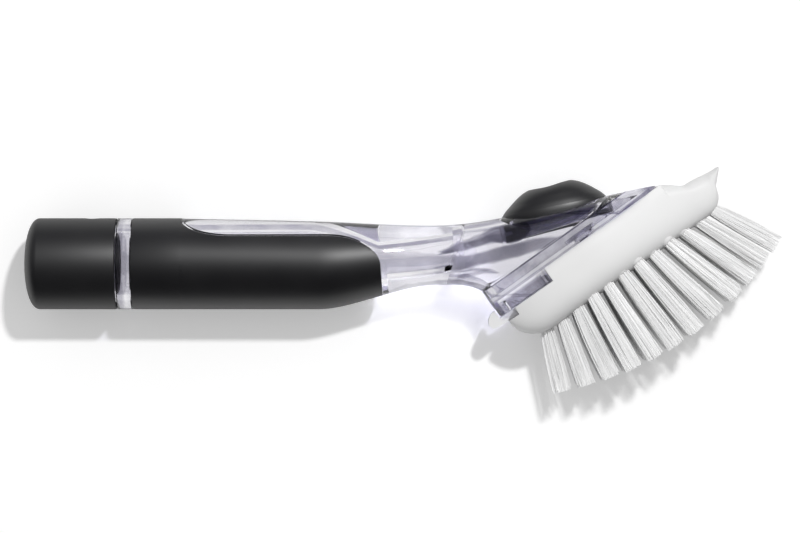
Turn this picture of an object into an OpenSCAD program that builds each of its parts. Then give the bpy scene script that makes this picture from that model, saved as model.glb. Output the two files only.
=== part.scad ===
// Dish wand: a hollow soap handle with a push button and a slide-on brush head.
// The wand lies on its side: +X runs along the handle towards the head, +Y is the button side,
// +Z points up from the table. The origin is on the handle's axis, inside the grip's full collar.

/* [Barrel] */
// Radius of the barrel, the cap and the grip collar
barrel_r = 16.4; // [15.8:0.1:18]
// Thickness of the soft grip sleeve
grip_wall = 1.6; // [1.2:0.1:2.2]
// Length of the grip's full round collar
collar_len = 17.5; // [12:0.5:22]
// Length of the clear band between the cap and the grip
band_len = 5.6; // [3:0.1:9]
// Radius of the soap tank's bore
tank_r = 11.2; // [9.5:0.1:11.5]
// Length of the parallel part of the tank in front of the origin
tank_front = 58; // [45:1:62]

/* [Grip window] */
// Height of the window's lower edge above the axis
sill_y = 10; // [7:0.5:12]
// Length of the window's rounded rear corner
window_back_len = 18; // [8:1:24]
// Length of the window's rounded front corner
window_front_len = 18.9; // [12:0.1:24]
// Distance from the origin to the grip's front edge
grip_front = 80.4; // [72:0.2:84]

/* [Screw cap] */
// Length of the cap
cap_len = 33.3; // [31:0.1:40]
// Length of the cap's rounded end
cap_round = 5.5; // [3.5:0.5:9]
// Thickness of the cap's soft outside
cap_soft = 1.2; // [0.8:0.1:1.3]
// Length of the threaded neck under the cap
spigot_len = 16.6; // [15:0.2:18]
// Radius of the neck at the bottom of its thread
spigot_r = 13; // [12.5:0.1:13.2]
// Height of the thread's ridges
thread_h = 1; // [0.7:0.05:1.05]
// Distance between the thread's turns
pitch = 4; // [3.6:0.1:4.4]
// Turns of thread on the neck
thread_turns = 3; // [2:0.25:3.25]
// Thickness of the cap's flat seal
seal_t = 1.5; // [1:0.1:2.5]

/* [Neck] */
// Distance from the origin to the waist
waist_x = 98; // [94:0.5:100]
// Height of the waist above the axis
waist_top = 13.7; // [13:0.1:15]
// Depth of the waist below the axis
waist_low = 7.65; // [7:0.05:9]
// Half of the waist's width across the table direction
waist_half_w = 11.3; // [10.5:0.1:13]
// Radius of the throat that joins the tank and the pump
throat_r = 4.6; // [3.5:0.1:4.8]
// Radius of the inlet valve's seat
valve_r = 6; // [5.6:0.1:6.4]

/* [Pump housing] */
// Wall of the pump housing
wall = 2.2; // [1.8:0.1:2.6]
// Distance from the origin to the flange's rear corner
head_x = 120; // [118:0.5:124]
// Height of the flange's rear corner
head_y = -14.7; // [-16:0.1:-14]
// Angle between the head's base and the handle
head_angle = 35.5; // [34:0.25:37]
// Slope of the housing's top
top_slope = 11.8; // [11:0.1:12.6]
// Length of the flange
flange_len = 72.8; // [70:0.2:76]
// Width of the flange and of the brush head
head_w = 34; // [32:0.5:36]
// Height of the flange's side, base plate included
strip_h = 5.4; // [4.8:0.1:6]
// Thickness of the base plate
base_t = 1.8; // [1.4:0.1:2]
// Thickness of the flange's front edge
tip_t = 0.6; // [0.4:0.1:1]

/* [Button] */
// Distance from the origin to the button's centre
button_x = 142.7; // [141:0.1:144]
// Length of the button
button_len = 38.2; // [34:0.2:40]
// Width of the button
button_w = 24; // [21:0.5:25]
// Height of the button above the housing
button_h = 8; // [6:0.1:10]
// Depth of the button's dished top
button_dish = 1.4; // [0.5:0.1:2]
// How much the button's top rises from its middle to its front
button_rise = 0.7; // [0:0.1:1]
// Thickness of the button's soft skin
button_skin = 1.6; // [1.2:0.1:2.2]
// Gap between the button and its opening
button_gap = 0.35; // [0.3:0.05:0.6]
// Thickness of the membrane under the button
membrane_t = 1; // [0.7:0.1:1.2]

/* [Base plate] */
// Length of the lug block under the flange's rear
lug_len = 22.5; // [20:0.5:25]
// Depth of the lug block and of the rails below the base
lug_h = 5.4; // [5:0.1:6]
// Half width of the channel for the latch
channel_half = 5.3; // [5.1:0.1:5.6]
// Distance from the flange's rear corner to the rails' front end
rail_end = 60; // [54:0.5:64]
// Thickness of a rail's web
rail_web = 2.4; // [2:0.1:3]
// How far a rail's lip stands out
rail_lip = 1.8; // [1.4:0.1:2.4]
// Distance from the flange's rear corner to the soap outlet
outlet_u = 40.7; // [39.5:0.1:42]
// Radius of the soap outlet
outlet_r = 2.6; // [2:0.1:3]
// Radius of the outlet valve
slit_valve_r = 5; // [4.4:0.1:5.2]

/* [Brush block] */
// Distance from the flange's rear corner to the scraper's edge
block_len = 94.8; // [92:0.2:98]
// Depth of the block below the base
block_h = 19.6; // [18.6:0.1:21]
// Length of the block's rounded rear
block_rear_round = 12; // [9:0.5:15]
// Width of the scraper's edge
scraper_w = 16; // [12:0.5:20]
// Thickness of the scraper's edge
scraper_t = 0.8; // [0.6:0.1:1.4]
// Width of the latch tongue
tongue_w = 9.6; // [8:0.1:10]
// Thickness of the latch tongue
tongue_t = 2.5; // [2:0.1:2.8]

/* [Bristles] */
// Distance between the rows at the block
row_pitch = 6.65; // [6.5:0.05:6.7]
// Distance between the rows at the tips
tip_pitch = 8.45; // [8.4:0.05:8.7]
// Distance between the tufts of a row at the block
tuft_pitch = 5.2; // [5.1:0.1:5.4]
// How much wider a row is at its tips
tip_flare = 1.2; // [1.18:0.01:1.26]
// Depth of the longest tips below the base
tip_depth = 50.4; // [46:0.2:53]
// Radius of a tuft's hole
tuft_r = 2.2; // [2:0.05:2.3]
// Depth of a tuft's hole
tuft_hole_h = 7; // [6:0.5:8]
// Half of a tuft's length at its tips, along the head
tuft_tip_r = 2.7; // [2.3:0.1:2.8]
// Strands around a tuft's middle strand
ring_strands = 7; // [6:1:8]

/* [Hidden] */
ROWS = 12;

$fn = 96;
// sides of a lofted section
sides = 36;
// a size that is larger than the wand, for cuts
far = 300;
// gap between parts that are moulded onto each other
bond = 0.05;
// gap round a part that slides or turns
slide_gap = 0.2;
// overlap that makes two solids of one part join
sink = 0.3;

clear_colour = [0.82, 0.82, 0.9, 0.45];
soft_black = [0.13, 0.13, 0.13];
hard_black = [0.2, 0.2, 0.21];
white_plastic = [0.94, 0.94, 0.94];
bristle_white = [0.97, 0.97, 0.97];
silicone_grey = [0.8, 0.8, 0.82];
steel_grey = [0.6, 0.6, 0.62];

function row_name(i) = str("bristle_row_", i < 9 ? "0" : "", i + 1);

// curves and sections

function ease(t) = let (c = min(1, max(0, t))) c * c * (3 - 2 * c);
function mix(a, b, t) = a + (b - a) * t;
function power(c, n) = sign(c) * pow(abs(c), 2 / n);

// height at x of the smooth curve through two points with given slopes
function curve(x, x0, y0, m0, x1, y1, m1) =
    let (d = x1 - x0, t = (x - x0) / d, t2 = t * t, t3 = t2 * t)
    (2 * t3 - 3 * t2 + 1) * y0 + (t3 - 2 * t2 + t) * d * m0
    + (3 * t2 - 2 * t3) * y1 + (t3 - t2) * d * m1;

// points of a rounded rectangle or oval with half axes a and b
function oval(a, b, n, count = 64) =
    [for (i = [0 : count - 1])
        let (t = 360 * i / count) [a * power(cos(t), n), b * power(sin(t), n)]];

// a section from point p to point q of the side view, w wide to each side
function section(p, q, w, n) =
    [for (i = [0 : sides - 1])
        let (t = 360 * i / sides, m = (p + q) / 2 + (p - q) / 2 * power(cos(t), n))
        [m.x, m.y, w * power(sin(t), n)]];

function move_in(p, q, d) = p + (q - p) * d / norm(q - p);

// a closed skin over a list of sections
module loft(rings) {
    n = len(rings[0]);
    last = len(rings) - 1;
    walls = [for (i = [0 : last - 1], j = [0 : n - 1], k = [0, 1])
        let (a = i * n + j, b = i * n + (j + 1) % n, c = a + n, d = b + n)
        k == 0 ? [a, c, b] : [b, c, d]];
    ends = [[for (j = [0 : n - 1]) j], [for (j = [n - 1 : -1 : 0]) last * n + j]];
    polyhedron([for (r = rings, p = r) p], concat(walls, ends));
}

// a solid turned about the handle's axis from points [radius, x]
module turned(points) rotate([0, 90, 0]) rotate_extrude() polygon(points);

module along_x(x0, x1, r) translate([x0, 0, 0]) rotate([0, 90, 0]) cylinder(h = x1 - x0, r = r);

// places in the head: x runs along the base, y away from the bristles
module in_head() translate([head_x, head_y, 0]) rotate([0, 0, head_angle]) children();

// a flat outline in the head, from height v0 up to v1
module plate(v0, v1) translate([0, v1, 0]) rotate([90, 0, 0]) linear_extrude(v1 - v0) children();

module post(u, w, v0, v1, r) translate([u, v1, w]) rotate([90, 0, 0]) cylinder(h = v1 - v0, r = r);

module block_box(u0, u1, v0, v1, w0, w1) translate([u0, v0, w0]) cube([u1 - u0, v1 - v0, w1 - w0]);

// derived sizes of the barrel

collar_half = collar_len / 2;
grip_back = -collar_half;
rim_x = grip_back - band_len;
spigot_end = rim_x - spigot_len;
cap_end = rim_x - cap_len;
liner_r = barrel_r - grip_wall;
head_dir = [cos(head_angle), sin(head_angle)];
head_up = [-sin(head_angle), cos(head_angle)];
corner = [head_x, head_y];
tip = corner + flange_len * head_dir;
top_tan = tan(top_slope);
// angle between the housing's top and its base
wedge = head_angle - top_slope;

// side view of the handle

// height of the top line of the housing, which is straight from plane_x on
plane_x = head_x + 4;
function plane_y(x) = tip.y + tip_t - (tip.x - x) * top_tan;
function top_y(x) =
    let (mid_x = mix(collar_half, waist_x, 0.53), mid_y = mix(barrel_r, waist_top, 0.4))
    x <= mid_x ? curve(x, collar_half, barrel_r - 0.1, -0.02, mid_x, mid_y, -0.025)
    : x <= waist_x ? curve(x, mid_x, mid_y, -0.025, waist_x, waist_top, 0)
    : x <= plane_x ? curve(x, waist_x, waist_top, 0, plane_x, plane_y(plane_x), top_tan)
    : plane_y(x);

// the lower line leaves the barrel, runs up to the waist and down to the flange's corner
belly_x = waist_x - 22;
belly_y = -waist_low - 5.2;
fan_x = waist_x + 3;
foot = corner + 0.4 * head_dir + strip_h * head_up;
function low_y(x) =
    x <= tank_front ? -barrel_r
    : x <= belly_x ? curve(x, tank_front, -barrel_r, 0, belly_x, belly_y, 0.28)
    : x <= fan_x ? curve(x, belly_x, belly_y, 0.28, fan_x, -waist_low, 0)
    : curve(x, fan_x, -waist_low, 0, foot.x, foot.y, -0.55);

function half_w(x) =
    x <= tank_front ? barrel_r
    : x >= waist_x ? waist_half_w
    : curve(x, tank_front, barrel_r, 0, waist_x, waist_half_w, 0);

barrel_stations = [collar_half, 20, 32, 45, tank_front, 64, 70, 76, 82, 88, 94];
// number of sections from the waist to the flange
fan_steps = 11;
// share of the head's width that the housing has where it meets the flange
housing_fill = 0.97;
// where the housing's top meets the flange's upper edge
crest_u = flange_len - (strip_h - tip_t) / tan(wedge);
crest = corner + crest_u * head_dir + strip_h * head_up;
// squareness of the flange's outline
flange_n = 3;

function barrel_section(x, inset) =
    section([x, top_y(x) - inset], [x, low_y(x) + inset], half_w(x) - inset, 2);

function fan_section(s, inset) =
    let (xt = mix(fan_x, crest.x, s), xb = mix(fan_x, foot.x, s),
         p = [xt, top_y(xt)], q = [xb, low_y(xb)],
         lean = atan2(p.y - q.y, p.x - q.x) - top_slope,
         n = mix(2, flange_n, ease(1.6 * s)))
    section(move_in(p, q, inset / sin(lean)), move_in(q, p, inset),
            mix(waist_half_w, housing_fill * head_w / 2, ease(s)) - inset, n);

module outer_shape() loft(concat(
    [for (x = barrel_stations) barrel_section(x, 0)],
    [for (i = [0 : fan_steps]) fan_section(i / fan_steps, 0)]));

// the handle from the collar to just past the grip, moved in by inset and longer by more at each end
module grip_body(inset, more = 0) loft([for (x = concat([collar_half - more],
    [for (x = barrel_stations) if (x > collar_half && x < grip_front) x], [grip_front + 3 + more]))
    barrel_section(x, inset)]);
function backwards(list) = [for (i = [len(list) - 1 : -1 : 0]) list[i]];

// the side view of everything that the soft grip leaves bare, grown by g
module bare_side(g) {
    back_c = [collar_half + window_back_len, barrel_r - 0.3];
    front_c = [grip_front - window_front_len, -1];
    back_b = back_c.y - sill_y;
    front_b = sill_y - front_c.y;
    translate([0, 0, -far / 2]) linear_extrude(far) polygon(concat(
        [[back_c.x - window_back_len - g, far / 2]],
        [for (i = [0 : 10]) let (t = 180 + 9 * i)
            back_c + [(window_back_len + g) * cos(t), (back_b + g) * sin(t)]],
        [for (i = [0 : 12]) let (t = 90 - 7.5 * i)
            front_c + [(window_front_len - g) * cos(t), (front_b - g) * sin(t)]],
        [[grip_front + 0.8 - g, -12], [grip_front + 0.8 - g, -far / 2], [far, -far / 2], [far, far / 2]]));
}

// the soap tank narrows in a cone to a throat that climbs gently to the pump

cone_len = 24;
throat_tilt = 5.7;
throat_x = tank_front + cone_len - 2;
throat_y = 1;
valve_seat_x = waist_x + 9;

module on_throat() translate([throat_x, throat_y, 0]) rotate([0, 0, throat_tilt]) children();

seat_d = (valve_seat_x - throat_x) / cos(throat_tilt);

module tank_space() {
    along_x(spigot_end - 1, tank_front, tank_r);
    translate([tank_front - 0.01, 0, 0]) rotate([0, 90, 0])
        cylinder(h = cone_len, r1 = tank_r, r2 = throat_r);
    on_throat() along_x(-1, seat_d + 1, throat_r);
    on_throat() along_x(seat_d, seat_d + 9, valve_r);
}

// the pump chamber, with its walls moved in by inset
chamber_start = 0.16;
chamber_steps = 9;

module chamber_shape(inset) {
    loft([for (i = [0 : chamber_steps]) fan_section(mix(chamber_start, 1, i / chamber_steps), inset)]);
    in_head() intersection() {
        plate(base_t - 1, strip_h + sink) translate([flange_len / 2, 0])
            polygon(oval(flange_len / 2 - inset - 1.2, head_w / 2 - inset - 0.3, flange_n));
        below_top(inset);
    }
}

// everything under the housing's top plane moved in by inset, in the head's frame
module below_top(inset) translate([flange_len, tip_t, 0]) rotate([0, 0, -wedge])
    translate([-far, -far - inset, -far / 2]) cube([far + 20, far, far]);

module flange_outline() translate([flange_len / 2, 0])
    polygon(oval(flange_len / 2, head_w / 2, flange_n));

// the button's own frame: x along the housing's top, y out of it

module in_button() translate([button_x, plane_y(button_x), 0]) rotate([0, 0, top_slope]) children();

button_n = 2.3;
button_v = corner_v(button_x);

function corner_v(x) = (x - head_x) * head_up.x + (plane_y(x) - head_y) * head_up.y;
// height in the button's frame of the place a along it that is v above the base
function over_base(a, v) = (v - button_v + a * sin(wedge)) / cos(wedge);

module button_prism(grow, h0, h1) in_button() plate(h0, h1)
    polygon(oval(button_len / 2 + grow, button_w / 2 + grow, button_n));

// a layer under the button, between two sloped planes given by their rear and front heights
module layer(rear0, front0, rear1, front1) in_button() {
    a = button_len;
    slope0 = (front0 - rear0) / 2;
    slope1 = (front1 - rear1) / 2;
    translate([0, 0, -far / 2]) linear_extrude(far) polygon([
        [-a, rear0 - slope0], [a, front0 + slope0], [a, front1 + slope1], [-a, rear1 - slope1]]);
}

// depths under the housing's top, at the button's rear and front ends
travel = 3;
boss_v = base_t + 1.2;
half_len = button_len / 2;
plunger_in = 2.8;
plunger_rear = -6.9;
plunger_front = over_base(half_len - plunger_in, base_t + travel * cos(wedge) + 0.3) + 0.2;
membrane_drop = membrane_t + bond;
skirt_rear = plunger_rear + travel - membrane_drop + 0.4;
skirt_front = plunger_front + travel - membrane_drop + 0.2;
ring_rear = plunger_rear - membrane_drop - 1.6;
ring_front = over_base(half_len, base_t + 0.45);
ring_lip = 2.2;
well_wall = 1.3;
well_floor = -14;

// heights and sizes of the sections of the domed button, as shares of its own size
dome_shape = [[0, 1, 1], [0.2, 0.93, 0.95], [0.4, 0.83, 0.88], [0.6, 0.725, 0.8], [0.8, 0.6, 0.68],
              [0.94, 0.48, 0.54], [1, 0.36, 0.4]];

// one section of the button: an oval of half axes a and w, from height rear at its back to front
function button_ring(a, w, rear, front) =
    [for (p = oval(a, w, button_n, sides)) [p.x, mix(rear, front, p.x / button_len + 0.5), -p.y]];

function dome_sections(inset) =
    let (a = half_len - inset, b = button_w / 2 - inset, h = button_h - inset)
    concat([button_ring(a, b, skirt_rear, skirt_front)],
           [for (s = dome_shape) dome_ring(a * s[1], b * s[2], h * s[0])],
           [dome_ring(a * 0.16, b * 0.18, h - button_dish * 0.7),
            dome_ring(a * 0.05, b * 0.06, h - button_dish)]);

function dome_ring(a, w, h) =
    let (rise = button_rise * h / button_h) button_ring(a, w, h - rise, h + rise);

// the screw thread: a ridge that winds about the handle's axis

thread_steps = 24;

module ridge(x0, r_root, r_crest, turns) {
    root_w = 0.4 * pitch;
    crest_w = 0.24 * pitch;
    steps = floor(turns * thread_steps);
    loft([for (i = [0 : steps])
        let (t = 360 * i / thread_steps, x = x0 + pitch * i / thread_steps, u = [0, cos(t), sin(t)],
             flip = r_crest < r_root ? -1 : 1)
        [[x + flip * root_w / 2, 0, 0] + r_root * u, [x + flip * crest_w / 2, 0, 0] + r_crest * u,
         [x - flip * crest_w / 2, 0, 0] + r_crest * u, [x - flip * root_w / 2, 0, 0] + r_root * u]]);
}

thread_x = spigot_end + 2.2;
thread_gap = 0.25;
cap_bore_r = spigot_r + thread_h + thread_gap;
cap_wall_r = barrel_r - cap_soft;

// the parts of the handle

module clear_body() color(clear_colour) difference() {
    union() {
        turned([[0, spigot_end], [spigot_r - 0.6, spigot_end], [spigot_r, spigot_end + 0.6],
                [spigot_r, rim_x], [barrel_r, rim_x], [barrel_r, grip_back - bond],
                [liner_r - bond, grip_back - bond], [liner_r - bond, collar_half], [0, collar_half]]);
        ridge(thread_x, spigot_r - sink, spigot_r + thread_h, thread_turns);
        grip_body(grip_wall + bond);
        intersection() {
            outer_shape();
            bare_side(0);
        }
        in_head() intersection() {
            plate(base_t, strip_h) flange_outline();
            below_top(0);
        }
    }
    tank_space();
    difference() {
        chamber_shape(wall);
        button_well();
    }
    button_prism(button_gap, well_floor, button_h);
}

// the wall that hangs from the housing's top round the button and holds the ring
module button_well() intersection() {
    button_prism(button_gap + well_wall, well_floor, button_h);
    layer(ring_rear, ring_front, button_h, button_h);
}

module grip_sleeve() color(soft_black) {
    turned([[liner_r, grip_back], [barrel_r, grip_back], [barrel_r, collar_half], [liner_r, collar_half]]);
    difference() {
        grip_body(0);
        grip_body(grip_wall, 1);
        bare_side(bond);
    }
}

module inlet_valve() color(silicone_grey) on_throat() {
    along_x(seat_d, seat_d + 1.4, valve_r - bond);
    intersection() {
        along_x(seat_d + 1.4 - sink, seat_d + 8, throat_r - 0.8);
        translate([0, 0, -far / 2]) linear_extrude(far)
            polygon([[seat_d, -valve_r], [seat_d + 3, -valve_r], [seat_d + 8, -0.5],
                     [seat_d + 8, 0.5], [seat_d + 3, valve_r], [seat_d, valve_r]]);
    }
}

module valve_retainer() color(hard_black) on_throat() translate([seat_d + 1.4 + bond, 0, 0]) difference() {
    along_x(0, 2, valve_r - bond);
    along_x(-1, 3, throat_r - 0.5);
}

// the membrane lies on a black ring in the bottom of the button's well

module button_diaphragm() color(soft_black) intersection() {
    button_prism(button_gap - bond, well_floor, 0);
    layer(plunger_rear - membrane_drop, plunger_front - membrane_drop,
          plunger_rear - bond, plunger_front - bond);
}

module diaphragm_ring() color(hard_black) difference() {
    intersection() {
        button_prism(button_gap - bond, well_floor, 0);
        layer(ring_rear, ring_front,
              plunger_rear - membrane_drop - bond, plunger_front - membrane_drop - bond);
    }
    button_prism(button_gap - ring_lip, well_floor - 1, 0);
}

module button_dome() color(soft_black)
    in_button() loft(concat(backwards(dome_sections(button_skin)), dome_sections(0)));

module button_core() color(hard_black) in_button() loft(concat(
    [button_ring(half_len - plunger_in, button_w / 2 - plunger_in, plunger_rear, plunger_front),
     button_ring(half_len - plunger_in, button_w / 2 - plunger_in, skirt_rear, skirt_front)],
    dome_sections(button_skin + bond)));

// the base plate closes the pump, carries the rails and ends in the lug block

rail_w0 = channel_half + 0.6;
nozzle_v = -2.2;
pocket_v = 0.6;
channel_roof = -2.2;

module rail(side) mirror([0, 0, side]) {
    block_box(lug_len - sink, rail_end, -3.2, sink, rail_w0, rail_w0 + rail_web);
    block_box(lug_len - sink, rail_end, 0.4 - lug_h, -3, rail_w0, rail_w0 + rail_web + rail_lip);
}

module base_plate() color(clear_colour) in_head() difference() {
    union() {
        intersection() {
            plate(0, base_t - bond) flange_outline();
            below_top(0);
        }
        intersection() {
            plate(-lug_h, sink) flange_outline();
            block_box(-1, lug_len, -far / 2, far / 2, -far / 2, far / 2);
        }
        for (side = [0, 1]) rail(side);
        post(outlet_u, 0, nozzle_v, 1, outlet_r + 1.2);
        post(outlet_u, 0, 1, boss_v, slit_valve_r + 1.2);
    }
    block_box(-2, lug_len + 1, -far / 2, channel_roof, -channel_half, channel_half);
    post(outlet_u, 0, nozzle_v - 1, 2, outlet_r);
    post(outlet_u, 0, pocket_v, boss_v + 1, slit_valve_r);
    for (side = [0, 1]) mirror([0, 0, side]) lug_pocket();
}

// moulded hollow in each half of the lug block, open below
module lug_pocket() block_box(5, lug_len - 2, -lug_h - 1, -1.4, channel_half + 2, head_w / 2 - 5.5);

module outlet_valve() color(silicone_grey) in_head() difference() {
    union() {
        post(outlet_u, 0, pocket_v + bond, pocket_v + 1.2, slit_valve_r - bond);
        post(outlet_u, 0, -1.4, pocket_v + 0.6, outlet_r - bond);
    }
    block_box(outlet_u - 0.1, outlet_u + 0.1, -3, 3, -outlet_r * 0.7, outlet_r * 0.7);
}

module outlet_retainer() color(hard_black) in_head() difference() {
    post(outlet_u, 0, pocket_v + 1.2 + bond, boss_v, slit_valve_r - bond);
    post(outlet_u, 0, 0, boss_v + 1, slit_valve_r - 1.4);
}

// the screw cap

core_end = cap_end + cap_soft + 0.6;
core_cavity_r = 10;

// points of a rounded end with radius r, from its apex at x0 over a length of l
function round_end(x0, r, l) = [for (i = [0 : 10]) let (t = 9 * i)
    [r * power(sin(t), 2.2), x0 + l * (1 - power(cos(t), 2.2))]];

module cap_skin() color(soft_black) difference() {
    turned(concat(round_end(cap_end, barrel_r, cap_round),
                  [[barrel_r, rim_x - slide_gap], [0, rim_x - slide_gap]]));
    turned(concat(round_end(core_end - bond, cap_wall_r, cap_round - cap_soft),
                  [[cap_wall_r, rim_x], [0, rim_x]]));
    translate([rim_x - 9, barrel_r + 1.6, 0]) rotate([90, 0, 0]) cylinder(h = 2.2, r = 2.7);
}

module cap_core() color(hard_black) {
    difference() {
        turned(concat(round_end(core_end, cap_wall_r - bond, cap_round - cap_soft),
                      [[cap_wall_r - bond, rim_x - slide_gap], [0, rim_x - slide_gap]]));
        along_x(spigot_end - seal_t - 2 * bond, rim_x + 1, cap_bore_r);
        along_x(core_end + 2, spigot_end, core_cavity_r);
    }
    ridge(thread_x + pitch / 2, cap_bore_r + sink, spigot_r + thread_gap, thread_turns - 0.5);
}

module cap_seal() color(silicone_grey)
    along_x(spigot_end - seal_t - bond, spigot_end - bond, cap_bore_r - thread_gap);

// the brush head

notch_v = -lug_h - slide_gap;
block_u0 = 2;
front_round_u = block_len - 12.8;
nose_u = block_len - 4.9;
nose_v = -12.9;
scraper_v = -7.3;
deck_end = flange_len + 1.2;

function block_low(u) =
    u < block_u0 + block_rear_round ? let (t = (block_u0 + block_rear_round - u) / block_rear_round)
        -block_h + (block_h - 10) * (1 - sqrt(max(0, 1 - t * t)))
    : u < front_round_u ? -block_h
    : u < nose_u ? let (t = (u - front_round_u) / (nose_u - front_round_u))
        -block_h + (block_h + nose_v) * (1 - sqrt(max(0, 1 - t * t)))
    : mix(nose_v, scraper_v - scraper_t / 2, (u - nose_u) / (block_len - nose_u));

function block_top(u) =
    u < deck_end - 0.2 ? 6
    : u < deck_end + 8 ? mix(-0.5, -5.4, ease((u - deck_end) / 8))
    : mix(-5.4, scraper_v + scraper_t / 2, ease((u - deck_end - 8) / (block_len - deck_end - 8)));

block_mid = 37;
function block_half_w(u) =
    u < block_mid ? head_w / 2 * pow(1 - pow((block_mid - u) / (block_mid + 0.6), flange_n), 1 / flange_n)
    : mix(head_w / 2, scraper_w / 2, ease(1.02 * (u - block_mid) / (block_len - block_mid)));

block_stations = [block_u0, 2.6, 4, 6.5, 10, 15, 24, 37, 48, 58, 67, deck_end - 0.3, deck_end - 0.1,
                  deck_end + 3, deck_end + 6, deck_end + 8, front_round_u + 2.5, front_round_u + 5,
                  front_round_u + 7, nose_u, nose_u + 1.9, block_len];

// height at which the block is widest
function block_mid_v(u) = mix(-6.8, (block_top(u) + block_low(u)) / 2, ease((u - deck_end) / 18));

function block_section(u) =
    let (m = block_mid_v(u), up = section([u, block_top(u)], [u, 2 * m - block_top(u)], block_half_w(u), 3),
         down = section([u, 2 * m - block_low(u)], [u, block_low(u)], block_half_w(u), 3.2))
    [for (i = [0 : sides - 1]) cos(360 * i / sides) > 0 ? up[i] : down[i]];

// tufts: where a tuft stands, and where its tips end

row_u0 = 11.5;
// how far a hole's cut runs on out of the block
hole_mouth = 4;
tip_u0 = 2.9;
tip_mid_u = 52;
tip_half_u = 49;
tip_rise = 9.8;
// how far the tips of the ninth and tenth rows lean forward
tip_lean = 3.1;
tuft_counts = [2, 3, 4, 5, 5, 5, 5, 4, 4, 3, 2, 2];

function tuft_spots(i) = [for (j = [0 : tuft_counts[i] - 1])
    let (w = (j - (tuft_counts[i] - 1) / 2) * tuft_pitch)
    if (!(abs(w) < 0.1 && abs(row_u(i) - outlet_u) < 5)) w];
function row_u(i) = row_u0 + row_pitch * i;
function row_foot(i, w) = [row_u(i), block_low(row_u(i)) + 0.9 + 0.011 * w * w, w];
function row_tip(i, w) =
    let (u = tip_u0 + tip_pitch * i + tip_lean * exp(-pow((i - 8.4) / 2, 2)),
         k = (u - tip_mid_u) / tip_half_u)
    [u, -tip_depth + tip_rise * k * k, w * tip_flare];

// turns the z axis of its child to the direction from a tuft's tips to its foot
module at_tuft(i, w) {
    foot_p = row_foot(i, w);
    d = foot_p - row_tip(i, w);
    translate(foot_p) rotate([0, acos(d.z / norm(d)), atan2(d.y, d.x)]) children();
}

module brush_block() color(white_plastic) in_head() difference() {
    loft([for (u = block_stations) block_section(u)]);
    block_box(-5, deck_end, -bond, far, -far / 2, far / 2);
    block_box(-5, lug_len + slide_gap, notch_v, far, -far / 2, far / 2);
    block_box(-5, 6.2, tongue_low - slide_gap, far, -far / 2, far / 2);
    block_box(-5, rail_end + slide_gap, channel_roof - 0.9, far, -channel_half, channel_half);
    for (side = [0, 1]) mirror([0, 0, side]) rail_slot();
    tongue_slot();
    post(outlet_u, 0, -far / 2, 0, outlet_r + 0.4);
    for (i = [0 : ROWS - 1], w = tuft_spots(i)) at_tuft(i, w)
        translate([0, 0, -hole_mouth]) cylinder(h = tuft_hole_h + hole_mouth, r = tuft_r);
}

module rail_slot() {
    g = slide_gap;
    block_box(lug_len - 1, rail_end + g, -3.4, 1, rail_w0 - g, rail_w0 + rail_web + g);
    block_box(lug_len - 1, rail_end + g, 0.4 - lug_h - g, -3 + g,
              rail_w0 - g, rail_w0 + rail_web + rail_lip + g);
}

// the latch tongue turns down about its round root; its pad hooks behind the lug block

tongue_top = notch_v - 0.15;
tongue_low = tongue_top - tongue_t;
tongue_u = 11;
tongue_bend = 14;
hinge_gap = 0.08;

module tongue_root(r) translate([tongue_u, tongue_top - tongue_t / 2, -far / 2]) cylinder(h = far, r = r);

module tongue_slot() {
    half = tongue_w / 2 + slide_gap;
    reach = tongue_u + 6;
    intersection() {
        block_box(-far, far, -far, far, -half, half);
        union() {
            tongue_root(tongue_t / 2 + hinge_gap);
            translate([0, 0, -far / 2]) linear_extrude(far) polygon([[-6, 0], [tongue_u, 0],
                [tongue_u, tongue_low - hinge_gap], [-6, tongue_low - 0.4 - reach * tan(tongue_bend)]]);
        }
    }
}

module release_tongue() color(white_plastic) in_head() intersection() {
    block_box(-far, far, -far, far, -tongue_w / 2, tongue_w / 2);
    union() {
        tongue_root(tongue_t / 2);
        translate([0, 0, -far / 2]) linear_extrude(far) polygon([[tongue_u, tongue_top],
            [-0.3, tongue_top], [-0.3, -2.6], [-2.2, -2.7], [-4.2, -4.2], [-4.9, -5.8], [-4.4, -7.6],
            [-3, tongue_low], [tongue_u, tongue_low]]);
    }
}

// a steel anchor lies across the bottom of each tuft's hole
staple_t = 0.5;

module tuft_staples() color(steel_grey) in_head()
    for (i = [0 : ROWS - 1], w = tuft_spots(i)) at_tuft(i, w)
        translate([-0.8, 0.25 - tuft_r, tuft_hole_h - staple_t - 2 * bond])
            cube([1.6, 2 * tuft_r - 0.5, staple_t]);

// one tuft: a plug in its hole that carries a fan of four-sided strands
strand_r0 = 0.62;
strand_r1 = 0.82;
strand_middle_r = 0.5;
// share of a tuft's length that it is wide at its tips
tip_narrow = 0.85;
root_ring_r = tuft_r - strand_r0 - 0.12;

// the four corners of a strand at height z, at angle t on an oval round the tuft's middle
function strand_ring(t, spread, size, z) =
    [for (k = [0 : 3]) let (a = t + 45 + 90 * k)
        [spread.x * cos(t) + size * cos(a), spread.y * sin(t) + size * sin(a), z]];

module tuft(i, w) at_tuft(i, w) {
    length = norm(row_foot(i, w) - row_tip(i, w));
    translate([0, 0, bond]) cylinder(h = tuft_hole_h - staple_t - 4 * bond, r = tuft_r - bond);
    for (k = [0 : ring_strands]) {
        t = 360 * k / ring_strands;
        out = k == ring_strands ? 0 : 1;
        ragged = 1.3 * abs(sin(97 * k + 41 * i + 13 * w));
        loft([strand_ring(t, out * tuft_tip_r * [tip_narrow, 1], strand_r1, ragged - length),
              strand_ring(t, out * root_ring_r * [1, 1], mix(strand_middle_r, strand_r0, out), bond + sink)]);
    }
}

module bristle_row(i) color(bristle_white) in_head() for (w = tuft_spots(i)) tuft(i, w);

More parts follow.
